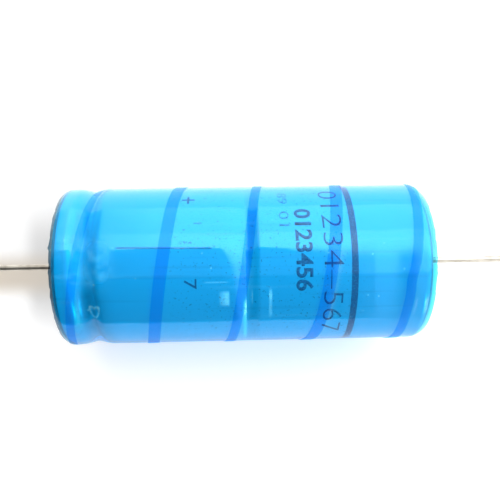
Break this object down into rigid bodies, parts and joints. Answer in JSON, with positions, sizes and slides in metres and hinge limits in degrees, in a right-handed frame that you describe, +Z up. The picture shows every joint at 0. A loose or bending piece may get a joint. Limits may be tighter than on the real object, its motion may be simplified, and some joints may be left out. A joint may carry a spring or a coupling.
{
  "type": "axial electrolytic capacitor",
  "caption": "Large axial-lead aluminium electrolytic capacitor: grooved can in lapped see-through blue film, with a wire lead on each end.",
  "frame": {"origin": "middle of the body on its axis, which is also the middle between the tips of the two leads", "axes": "+X along the axis towards the closed, negative end; +Z up, towards the side that the picture shows"},
  "size_m": [0.1226, 0.0214, 0.0214],
  "materials": {
    "can_aluminium": "bright drawn",
    "seal_rubber": "matte",
    "laminate": "sawn laminate",
    "bare_aluminium": "satin",
    "tinned_wire": "dull tinned",
    "insulating_paper": "matte",
    "foil_and_paper": "soaked paper and etched foil",
    "closing_tape": "gloss",
    "ink": "printed",
    "blue_film": "see-through polyester film"
  },
  "bodies": {
    "root": {"can": "can_aluminium", "seal_rubber": "seal_rubber", "seal_board": "laminate", "rivet_washer": "bare_aluminium", "anode_rivet": "bare_aluminium", "anode_tab": "bare_aluminium", "anode_lead": "tinned_wire", "front_pad": "insulating_paper", "winding": "foil_and_paper", "winding_tape": "closing_tape", "rear_pad": "insulating_paper", "cathode_tab": "bare_aluminium", "cathode_lead": "tinned_wire", "marking_ring": "ink", "film_sleeve": "blue_film"}
  },
  "joints": []
}
